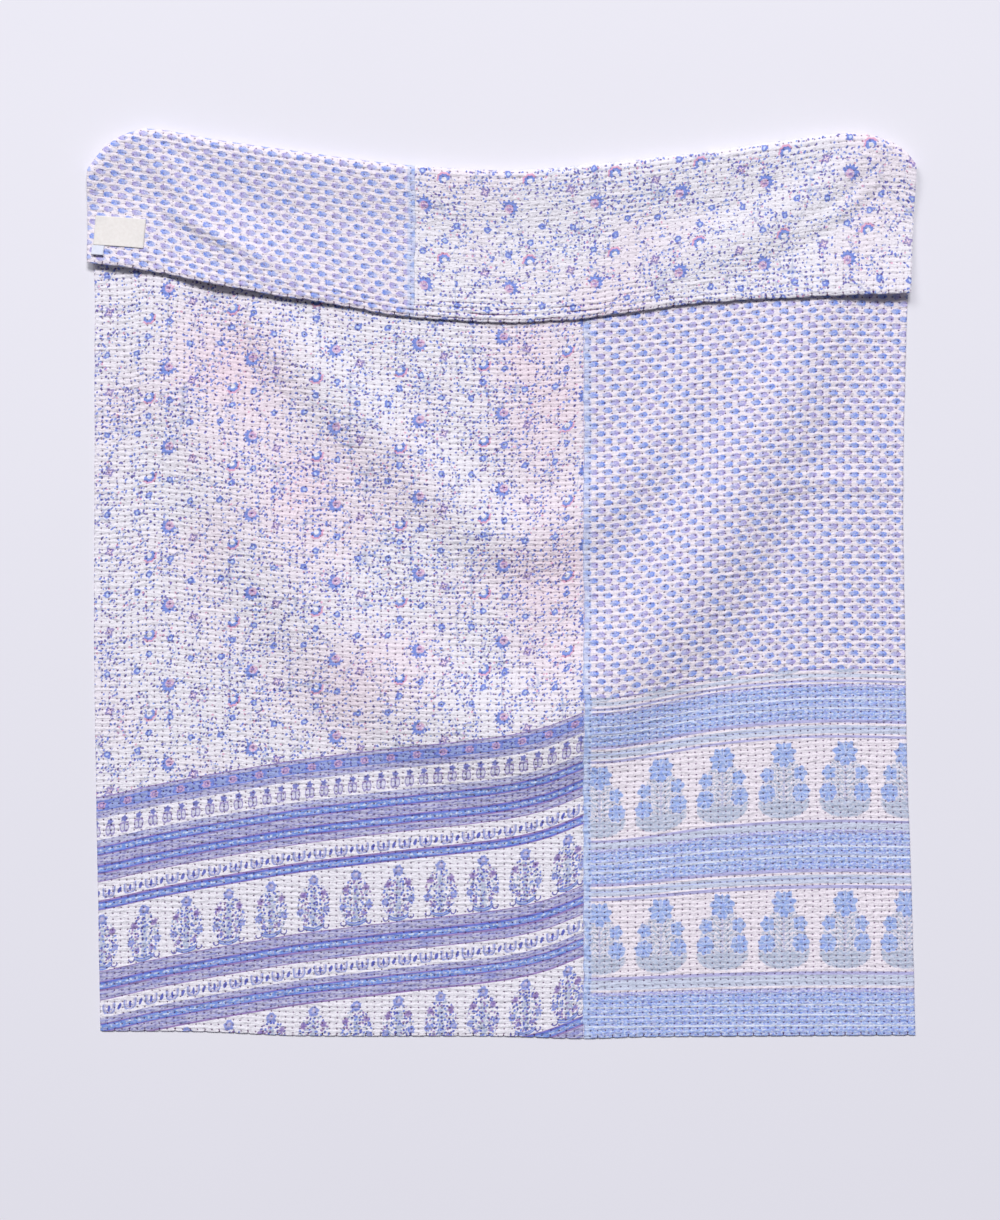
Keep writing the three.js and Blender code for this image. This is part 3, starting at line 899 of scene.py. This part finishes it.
def floral_print(at, level):
    """Ring flowers and half blooms in a repeat, among trailing stems, over a wide border."""
    cloth = washed_ground(at)
    for motifs in (trails, small_flowers, half_blooms, ring_flowers):
        motifs(cloth, at)
    cloth.lay(floral_border(at, level), level < FLORAL_TOP)
    return cloth


# ---------------- the buti print

PALE = linear(250, 240, 247)
SKY = linear(157, 185, 240)
STRONG_SKY = linear(72, 124, 243)
BUTI_BLUE = linear(88, 136, 238)
FINE_LINE = linear(181, 178, 226)
MAUVE = linear(166, 154, 222)
PALE_MAUVE = linear(190, 202, 242)
MIST = linear(208, 216, 237)
GREEN_GREY = linear(181, 195, 219)
ICE = linear(228, 236, 253)
SELVEDGE = linear(208, 224, 254)

BUTI_PITCH, BUTI_ROWS_APART = 24.2, 13.3
BUTI_PLANT_REPEAT = (105.6, 234.5)
# The flowers of a plant: the place of each, its radius, its petals, their depth and their turn.
BUTI_FLOWERS = (
    (28, -31, 11.4, 5, 1.5, math.pi / 2), (29.5, -62, 14.6, 8, 1.0, 0), (0, 1, 19.5, 8, 2.6, 0),
)

# The border's bands from its top, as for the floral print.
BUTI_TOP = -194.4
BLUE_GROUP = (
    (5.2, FINE_LINE, DOTTED), (13.8, SKY, FLECKED), (4.3, PALE_MAUVE, DOTTED), (2.4, ICE),
    (10.5, SKY, DOTTED), (2.6, PALE_MAUVE), (2.4, ICE), (17.4, SKY, FLECKED), (4.3, FINE_LINE),
    (4.3, PALE), (4.3, MIST), (1.7, PALE_MAUVE), (7.8, MIST), (2.6, PALE), (4.3, FINE_LINE),
)
BUTI_UPPER = (
    (1.7, MAUVE), (6, PALE), (6, MIST), (4.3, PALE), (2.6, FINE_LINE), (1.7, PALE_MAUVE),
    (2.6, PALE), *BLUE_GROUP, (132.4, PALE), (3.4, FINE_LINE), (12.1, MIST),
)
BUTI_LOWER = (
    *BLUE_GROUP, (130.7, PALE), (6, FINE_LINE), (16, MIST), (4, PALE), (7, FINE_LINE, DOTTED),
    (18, SKY, FLECKED), (2.6, ICE), (14, SKY, DOTTED), (2.6, ICE), (13.4, SKY, FLECKED),
    (2.4, ICE), (30, SKY, FLECKED),
)


def buti_field(at):
    """Small fan-shaped butis in staggered rows, in blue and lavender by turns."""
    x, y = parts_of(at)
    row = maths("FLOOR", y / BUTI_ROWS_APART)
    moved = x / BUTI_PITCH + maths("FRACT", row * 0.5)
    column = maths("FLOOR", moved)
    left = (moved - column - 0.5) * BUTI_PITCH
    up = y - (row + 0.5) * BUTI_ROWS_APART
    turn = maths("FRACT", (column + maths("FLOOR", row * 0.5)) * 0.5) * 2
    fan = length_of(left, up * 1.5 / (0.9 + left * 0.02)) + rough(at, 3.4, 3)
    ink = paint(PALE_MAUVE, paint(BUTI_BLUE, MAUVE, turn), ramp(left, -9, 6))
    ink = paint(ink, PALE, 0.45 * ramp(clouds(at, 2.8, 0), 0.52, 0.7))
    cloth = Print(PALE)
    cloth.lay(ink, inside(fan, 8.4, 2) * (0.82 + 0.3 * clouds(at, 9, 1)))
    specks = inside(scatter(at, 5.6, 1, 13)[0], 1.0)
    cloth.lay(PURPLE, specks * near(fan, 7.5, 2) * 0.5)
    return cloth


def buti_leaves(border, at, x, y):
    """A plant's grey-green leaves in the shape of an egg, with its stem and the bowl it grows from."""
    up = y + 75
    egg = length_of(x * (1 + 0.003 * up), maths("MAXIMUM", up * 0.58, up * -1.6))
    veins = abs(maths("FRACT", (y - abs(x) * 0.75) / 9) - 0.5)
    leaves = inside(egg + rough(at, 5, 7, 1), 44, 2.5) * (1 - 0.75 * inside(veins, 0.12, 0.16))
    border.lay(GREEN_GREY, leaves * ramp(clouds(at, 3.6, 2), 0.36, 0.54))
    border.lay(MAUVE, inside(abs(x), 1.6, 1.2) * near(y, -52, 34, 6) * 0.3)
    bowl = inside(length_of(x * 0.62, y + 76), 27, 3)
    border.lay(GREEN_GREY, bowl * inside(y, -74, 4) * 0.6)


def buti_flower(border, at, local, radius, lobes, depth, turn):
    """A flower in two blues on a pale ground, with pale gaps between its petals."""
    apart = lobed(local, lobes, depth, turn) + rough(at, 5, 4)
    border.lay(PALE, inside(apart, radius + 1.8, 1.5) * 0.6)
    petals = paint(PALE_MAUVE, SKY, ramp(clouds(at, 6, 1), 0.34, 0.52))
    petals = paint(petals, STRONG_SKY, ramp(clouds(at, 9, 1), 0.44, 0.7) * 0.35)
    border.lay(petals, inside(apart, radius, 1.6))
    gap = inside(waves_round(local, lobes, turn) + 1, 0.14, 0.2)
    border.lay(ICE, gap * near(apart, radius * 0.62, radius * 0.3) * 0.7)


def buti_fillings(border, at, filling):
    """Dashes, speckles and squiggles along the bands that aren't plain."""
    is_filled = filling > 0.25
    dashes = scatter(scaled(at, 0.55, 1), 6.4, 1, 23, 0.7)[0]
    border.lay(MAUVE, is_filled * inside(dashes, 2.1, 1.6) * 0.45)
    speckle = clouds(scaled(at, 0.6, 1), 3.0, 1)
    border.lay(ICE, is_filled * ramp(speckle, 0.46, 0.62) * 0.8)
    squiggle = clouds(scaled(at, 0.35, 1), 5.0, 2)
    border.lay(STRONG_SKY, is_filled * near(squiggle, 0.5, 0.022, 0.02) * 0.5)


def buti_border(at, level):
    """Bands of blue and lavender lines, with two rows of flowering plants."""
    border, filling, _ = banded(level, BUTI_TOP, BUTI_UPPER, BUTI_LOWER)
    buti_fillings(border, at, filling)
    x, y = parts_of(repeat(at, 168.0, -333.0, *BUTI_PLANT_REPEAT))
    buti_leaves(border, at, x, y)
    mirrored = joined(abs(x), y)
    for dx, dy, *shape in BUTI_FLOWERS:
        buti_flower(border, at, from_spot(mirrored, dx, dy), *shape)
    return border.colour


def buti_print(at, level):
    """Small butis in rows, over a wide border."""
    cloth = buti_field(at)
    cloth.lay(buti_border(at, level), level < BUTI_TOP)
    return cloth


def selvedge(cloth, at, across, level):
    """The blue strip along the seamed edge of the buti cloth, stronger along its border."""
    from_seam = smallest(abs(across - FACE_SEAM), abs(across - REVERSE_SEAM))
    strip = paint(SELVEDGE, SKY, inside(scatter(at, 11, 1, 41)[0], 4.4, 3))
    cloth.lay(strip, inside(from_seam, 12.5, 4) * (0.55 + 0.3 * (level < BUTI_TOP)))


# ---------------- materials

# The colour that the cloth's own is multiplied by for painted shade in its furrows and round its
# stitches.
FURROW_SHADE = linear(150, 122, 152)


def new_material(name, roughness):
    """A plain matt material, and its shader."""
    material = bpy.data.materials.new(name)
    material.use_nodes = True
    shader = material.node_tree.nodes["Principled BSDF"]
    shader.inputs["Metallic"].default_value = 0.0
    shader.inputs["Specular IOR Level"].default_value = 0.3
    shader.inputs["Roughness"].default_value = roughness
    return material, shader


def places_in(material, label):
    """The places in a UV map, in millimetres."""
    made = material.node_tree.nodes.new("ShaderNodeUVMap")
    made.uv_map = label
    return vectors("MULTIPLY", Value(made.outputs[0]), (1 / MM, 1 / MM, 1 / MM))


def places_on_object(material):
    """The places on an object, in metres."""
    made = material.node_tree.nodes.new("ShaderNodeTexCoord")
    return Value(made.outputs["Object"])


def link(value, socket):
    socket.id_data.links.new(value.socket, socket)


def dress(shader, colour, height, strength, metres):
    """Gives a shader its colour, and bumps that rise by some metres for a height of 1."""
    link(colour, shader.inputs["Base Color"])
    bump = node("Bump", {"Height": height, "Strength": strength, "Distance": metres})
    link(bump, shader.inputs["Normal"])


def woven(place, fineness):
    """The threads of a plain weave, as a height."""
    across, along = parts_of(place)
    return maths("SINE", across * fineness) + maths("SINE", along * fineness)


def tightness(along):
    """The depth of the furrows, which is less on the slack part of the flap."""
    slack = ramp(along, FLAP_FROM, FLAP_FROM + SLACK_OVER) * ramp(LENGTH - along, 20, 60)
    return 1 - FLAP_SLACK * slack


def from_lines(place):
    """How far a place is from a column of stitches and from a row of them."""
    across, along = parts_of(place)
    column = maths("PINGPONG", across, STITCH_PITCH / 2)
    return column, maths("PINGPONG", along - HEM_INSET, ROW_PITCH / 2)


def sewing(place):
    """How far a place is from a column of stitches, from a row of them and from a single stitch."""
    beside, above = from_lines(place)
    column, row = from_lines(wavering(place, 0.11, 2.0))
    return column, row, length_of(beside, above * 0.8)


def bunched(place):
    """How tightly the rows crease together, which they do along the middle of the flap's hem."""
    across, along = parts_of(place)
    middle = dip(abs(across - BUNCH_MIDDLE), BUNCH_REACH - 50)
    broken = ramp(clouds(scaled(place, 0.12, 1), 6, 1), 0.4, 0.6)
    return ramp(LENGTH - along, 46, 12) * middle * broken


def cotton_height(place):
    """The furrows that rows of stitches draw in washed cotton, its puckers and its threads."""
    column, row, stitch = sewing(place)
    along = parts_of(place)[1]
    pucker = clouds(scaled(place, 1, 0.3), 4.2, 3, 0.6)
    crinkle = clouds(scaled(place, 0.3, 1), 4.6)
    drawn_in = dip(row, 2.0) * 0.17 + dip(column, 3.0) * 0.08 + dip(stitch, 3.4) * 0.6
    drawn_in = drawn_in * tightness(along) + dip(row, 1.8) * bunched(place)
    crumpled = pucker * 2.8 + crinkle * 2.6 + clouds(place, 15) * 3.2
    return crumpled + woven(place, 9.0) * 0.05 - drawn_in


def gathered_shade(colour, place):
    """Painted shade: the cloth's colour is darkened in its furrows, along the creases at the flap's hem
    and round each stitch.
    """
    column, row, stitch = sewing(place)
    # Painted shade: strongest round each stitch, fainter in the rows' furrows and beside the columns of
    # stitches.
    depth = dip(row, 1.6) * 0.09 + dip(column, 1.8) * 0.03 + dip(stitch, 2.3) * 0.6
    depth = depth * tightness(parts_of(place)[1]) + 1.2 * dip(row, 1.5) * bunched(place)
    return paint(colour, FURROW_SHADE, maths("MINIMUM", depth, 1.5), "MULTIPLY")


def cloth_material(name, print_of, with_selvedge):
    """Washed printed cotton. `print_of` gives its print."""
    material, shader = new_material(name, 0.92)
    shader.inputs["Sheen Weight"].default_value = 0.12
    shader.inputs["Sheen Roughness"].default_value = 0.5
    at, place = places_in(material, "print"), places_in(material, "cloth")
    level = parts_of(at)[1]
    # Block printing leaves soft, slightly wavering edges.
    at = scaled(wavering(at, 0.16, 3.2), 1, 1)
    cloth = print_of(at, level)
    if with_selvedge:
        selvedge(cloth, at, parts_of(place)[0], level)
    cloth.lay(WHITE, 0.02 + 0.2 * clouds(at, 34, 3, 0.6))
    # The print gets painted shade in its furrows and round its stitches.
    dress(shader, gathered_shade(cloth.colour, place), cotton_height(place), 1.0, MM)
    return material


def thread_material():
    """Dark plum quilting thread, a little uneven in its dye."""
    material, shader = new_material("quilting_thread", 0.8)
    place = places_on_object(material)
    dye = ramp(clouds(place, 0.05, 1), 0.35, 0.65)
    twist = node("TexWave", {"Vector": place, "Scale": 700.0})
    dress(shader, paint(linear(56, 10, 66), linear(104, 46, 108), dye), twist, 0.3, 0.1 * MM)
    return material


def tape_material(name, base, shade, roughness, fineness):
    """Plain woven tape, cream cotton or white satin."""
    material, shader = new_material(name, roughness)
    place = places_in(material, "cloth")
    colour = paint(base, shade, ramp(clouds(place, 6, 3), 0.35, 0.75))
    dress(shader, colour, woven(place, fineness) + clouds(place, 7) * 3, 0.6, 0.2 * MM)
    return material


# ---------------- panels and stitches

FACE, REVERSE = 1, -1
FLAP_HIDES_FROM = 0.885 * FRONT_LENGTH  # beyond this the face is under the flap
SHOWS_OVER_TURN = FRONT_LENGTH - 12  # from here on the reverse shows, over the turned-over end
# Lines of points to each space between rows of stitches, where a sheet shows and where it doesn't.
FACE_LINES, REVERSE_LINES = (3, 1), (4, 2)
TURN_ROW = math.ceil((SHOWS_OVER_TURN - HEM_INSET) / ROW_PITCH)  # the face's last row that shows
UNDER_DEPTH = 1.2  # how far the rows of the underside are drawn in from the surface it lies on
SIDE_INSET = 3.0  # from a side edge or a seam to the nearest stitches
OVER_HEM_INSET = 2.2  # from a hem to the middle of the stitches over it
THREAD_RISE = 0.35  # from the cloth up to the middle of a stitch
HALF_LENGTHS, HALF_WIDTHS = (1.4, 2.0), (0.9, 1.15)  # of a stitch on the face
HEM_SIZE = (1.7, 0.8)  # how much longer and wider a stitch over a hem is
REVERSE_SIZE = (0.72, 0.72)  # how much longer and wider a stitch on the reverse is
MOST_LEAN = 0.16  # of a stitch away from its row
SHIFTS = (0.7, 0.25)  # of a stitch along its row and beside it, as standard deviations
TOP, FOOT = 0.7, 0.9  # how far above and below its middle a stitch goes, as shares of its half width
END_DROP = 0.2  # how far below its middle the ends of a stitch are
# The faces of a stitch. Its corners are an end, a side, the other end and side, its top and its foot.
SPINDLE = np.array(
    [(0, 1, 4), (1, 2, 4), (2, 3, 4), (3, 0, 4), (1, 0, 5), (2, 1, 5), (3, 2, 5), (0, 3, 5)]
)


def layer_height(side, across, along, start, end):
    """How far a panel's outer surface is from the middle of the quilt."""
    full = thickness(across, along, start, end)
    over = LAYER - STITCH_DEPTH + relief(across, along)
    if side == FACE:
        return full * over + hem_tuck(along)
    # On the underside the crests lie on the surface below and the rows are drawn in from it.
    under = LAYER - UNDER_DEPTH * (1 - row_phase(along)) ** 2
    shown = smooth((along - SHOWS_OVER_TURN) / TURN_LENGTH)
    return full * lerp(under, over, shown) - hem_tuck(along)


def panel(name, side, start, end, material):
    """One panel of cloth, in place of the CAD node `name`, with its prints and maps."""
    flat_width = (end - start) * MM
    columns = column_places(start, end)
    if side == FACE:
        rows = row_places(0, FLAP_HIDES_FROM, *FACE_LINES)
    else:
        rows = row_places(SHOWS_OVER_TURN, LENGTH, *REVERSE_LINES)
    along, across = np.meshgrid(rows, columns, indexing="ij")
    points = surface(across, along, side, layer_height(side, across, along, start, end))
    points[..., 2] = np.maximum(points[..., 2], 0)
    if side == FACE:
        printed = face_print(points[..., 0], points[..., 1])
    else:
        printed = reverse_print(*wander(across, along))
    maps = {
        "print": printed * MM,
        "cloth": np.stack([across, along], axis=-1) * MM,
        "OFBake": np.stack([(across - start) / (end - start), along / LENGTH], axis=-1),
    }
    piece = mesh_object(
        name.replace("panel", "cloth"),
        points.reshape(-1, 3),
        grid_faces(len(rows), len(columns), flipped=side == REVERSE),
        material,
        {label: places.reshape(-1, 2) for label, places in maps.items()},
    )
    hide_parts(name)
    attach(piece, "root")


def stitches(name, side, across, along, start, end, seed, over_hem=False):
    """Stitches of thread, each a thin spindle that lies along its row, or across it over a hem."""
    random = np.random.default_rng(seed)
    height = layer_height(side, across, along, start, end) + THREAD_RISE
    middle = surface(across, along, side, height)
    ahead = unit(surface(across + 1, along, side, height) - middle)
    beside = surface(across, along + 1, side, height) - middle
    up = unit(np.cross(ahead, beside) * side)
    beside = np.cross(up, ahead)
    if over_hem:
        ahead, beside = beside, -ahead
    each = (len(across), 1)
    lean = random.uniform(-MOST_LEAN, MOST_LEAN, each)
    ahead, beside = ahead + beside * lean, beside - ahead * lean
    middle += ahead * random.normal(0, SHIFTS[0], each) + beside * random.normal(0, SHIFTS[1], each)
    longer, wider = HEM_SIZE if over_hem else (1, 1) if side == FACE else REVERSE_SIZE
    ahead = ahead * (random.uniform(*HALF_LENGTHS, each) * longer)
    wide = random.uniform(*HALF_WIDTHS, each) * wider
    beside, drop = beside * wide, up * END_DROP
    corners = [
        middle + ahead - drop, middle + beside, middle - ahead - drop, middle - beside,
        middle + up * wide * TOP, middle - up * wide * FOOT,
    ]
    faces = SPINDLE + len(corners) * np.arange(len(across))[:, None, None]
    points = np.stack(corners, axis=1).reshape(-1, 3)
    piece = mesh_object(name, points, faces.reshape(-1, 3), thread)
    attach(piece, "root")


def places_between(start, end, pitch):
    """Every place across a panel where a stitch of a row falls."""
    first, last = math.ceil((start + SIDE_INSET) / pitch), math.floor((end - SIDE_INSET) / pitch)
    return np.arange(first, last + 1) * pitch


floral_cloth = cloth_material("floral_cloth", floral_print, with_selvedge=False)
buti_cloth = cloth_material("buti_cloth", buti_print, with_selvedge=True)
thread = thread_material()
TO_GAP = GAP / 2  # from the middle of a seam to a panel's edge
PANELS = (
    ("front_floral_panel", FACE, 0.0, FACE_SEAM - TO_GAP, floral_cloth, "floral_cloth"),
    ("front_buti_panel", FACE, FACE_SEAM + TO_GAP, WIDTH, buti_cloth, "buti_cloth"),
    ("back_buti_panel", REVERSE, 0.0, REVERSE_SEAM - TO_GAP, buti_cloth, "buti_cloth"),
    ("back_floral_panel", REVERSE, REVERSE_SEAM + TO_GAP, WIDTH, floral_cloth, "floral_cloth"),
)
for number, (name, side, start, end, material, slot) in enumerate(PANELS):
    panel(name, side, start, end, material)
    last_row, hem = (TURN_ROW, OVER_HEM_INSET) if side == FACE else (ROWS, LENGTH - OVER_HEM_INSET)
    across, along = np.meshgrid(
        places_between(start, end, STITCH_PITCH),
        HEM_INSET + ROW_PITCH * np.arange(last_row + 1),
        indexing="ij",
    )
    in_rows = across.ravel(), along.ravel(), start, end
    stitches(name.replace("panel", "stitches"), side, *in_rows, seed=10 + number)
    across = places_between(start, end, HEM_STITCH_PITCH)
    over_hem = across, np.full(len(across), hem), start, end
    stitches(name.replace("panel", "hem_stitches"), side, *over_hem, seed=20 + number, over_hem=True)

# ---------------- label and care tag

TAPE_TURN = math.radians(-4.6)  # of both tapes, along the flap
ON_QUILT = 3.4  # over the middle of the flap
TAPE_THICK = 0.7
TAPE_EDGE = 1.2  # width over which a tape gets thinner towards its edges


def tape_piece(name, material, x, y, width, height, curl, steps):
    """A thin closed piece of tape round (x, y) on the flap, whose lower end curls up."""
    count = steps + 1
    shares = np.linspace(-0.5, 0.5, count)
    up, right = np.meshgrid(shares * height, shares * width, indexing="ij")
    x = x + right * math.cos(TAPE_TURN) - up * math.sin(TAPE_TURN)
    y = y + right * math.sin(TAPE_TURN) + up * math.cos(TAPE_TURN)
    end = turned_end(x) - TURN_RADIUS
    rise = curl * (0.5 - up / height) + 0.35 * noise(right / 17, up / 13, 21)
    z = flap_height(x, y, (end - y) / (end - flap_hem(x))) + ON_QUILT + rise
    from_edge = np.minimum(width / 2 - abs(right), height / 2 - abs(up))
    half_thick = TAPE_THICK / 2 * np.sqrt(smooth(from_edge / TAPE_EDGE) * 0.96 + 0.04)
    points = np.stack([np.stack([x, y, z + half_thick], -1), np.stack([x, y, z - half_thick], -1)])
    top, whole = grid_faces(count, count), count * count
    # The edge of the grid, once round.
    ring = np.concatenate([
        np.arange(count), np.arange(1, count) * count + steps,
        whole - 1 - np.arange(1, count), np.arange(count - 2, 0, -1) * count,
    ])
    following = np.roll(ring, -1)
    wall = np.stack([ring + whole, following + whole, following, ring], axis=-1)
    faces = np.concatenate([top, top[:, ::-1] + whole, wall])
    places = np.stack([right, up], axis=-1).reshape(-1, 2)
    maps = {"cloth": np.concatenate([places, places]) * MM}
    piece = mesh_object(name + "_tape", points.reshape(-1, 3), faces, material, maps)
    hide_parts(name)
    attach(piece, "root")


label_tape = tape_material(
    "label_tape", linear(251, 246, 240), linear(244, 238, 231), roughness=0.85, fineness=7.0
)
care_tape = tape_material(
    "care_tape", linear(242, 245, 255), linear(230, 235, 250), roughness=0.45, fineness=12.0
)
tape_piece(
    "label", label_tape, x=-655, y=605, width=87, height=51, curl=0, steps=40
)
tape_piece(
    "care_tag", care_tape, x=-692, y=573.5, width=21, height=17, curl=5.0, steps=14
)

# ---------------- floor, light and camera

VIEW_HEIGHT = 2.098  # of the picture at the quilt, in metres
VIEW_MIDDLE = (-0.003, -0.043)
CAMERA_DISTANCE = 5.2
SENSOR = 36.0
FLOOR_HALF = 40000.0  # so wide that a view from low down shows no edge of it
FLOOR_BELOW = 0.4  # the quilt, so that the two surfaces never meet
LIGHT_COLOUR = (0.97, 0.97, 1)
# Each light: its place in metres, its width and height, and its power in watts.
LIGHTS = {
    "key": ((1.6, 15.5, 22.6), (8.0, 5.4), 5840),
    "fill": ((-8.0, 12.5, 15.0), (9.0, 9.0), 1500),
}
SKY_LIGHT, SKY_STRENGTH = (0.8, 0.83, 1.0, 1), 0.17


def floor_material():
    """Smooth pale studio floor, very slightly mottled."""
    material, shader = new_material("studio_floor", 0.7)
    mottle = clouds(places_on_object(material), 0.9, 3)
    link(paint(linear(230, 228, 233), linear(234, 232, 237), mottle), shader.inputs["Base Color"])
    return material


def add_floor():
    corners = FLOOR_HALF * np.array([(-1, -1, 0), (1, -1, 0), (1, 1, 0), (-1, 1, 0)])
    under_quilt = corners - (0, 0, FLOOR_BELOW)
    floor = mesh_object("floor", under_quilt, np.array([[0, 1, 2, 3]]), floor_material())


def add_area_light(name, location, size, watts):
    """A wide soft light that is aimed at the middle of the quilt."""
    light = bpy.data.lights.new(name, "AREA")
    light.shape = "RECTANGLE"
    light.size, light.size_y = size
    light.energy = watts
    light.color = LIGHT_COLOUR
    lamp = add_object(name, light)
    lamp.location = location
    x, y, z = location
    lamp.rotation_euler = (math.atan2(math.hypot(x, y), z), 0, math.atan2(-y, -x) - math.pi / 2)


def add_sky():
    world = bpy.data.worlds.new("studio")
    world.use_nodes = True
    background = world.node_tree.nodes["Background"]
    background.inputs[0].default_value = SKY_LIGHT
    background.inputs[1].default_value = SKY_STRENGTH
    bpy.context.scene.world = world
    bpy.context.scene.view_settings.view_transform = "Standard"


def add_camera():
    camera = bpy.data.cameras.new("camera")
    camera.sensor_fit = "VERTICAL"
    camera.sensor_height = SENSOR
    camera.lens = SENSOR * CAMERA_DISTANCE / VIEW_HEIGHT
    camera.clip_end = 50
    holder = add_object("camera", camera)
    holder.location = (*VIEW_MIDDLE, CAMERA_DISTANCE)
    bpy.context.scene.camera = holder


add_floor()
for name, (location, size, watts) in LIGHTS.items():
    add_area_light(name, location, size, watts)
add_sky()
add_camera()
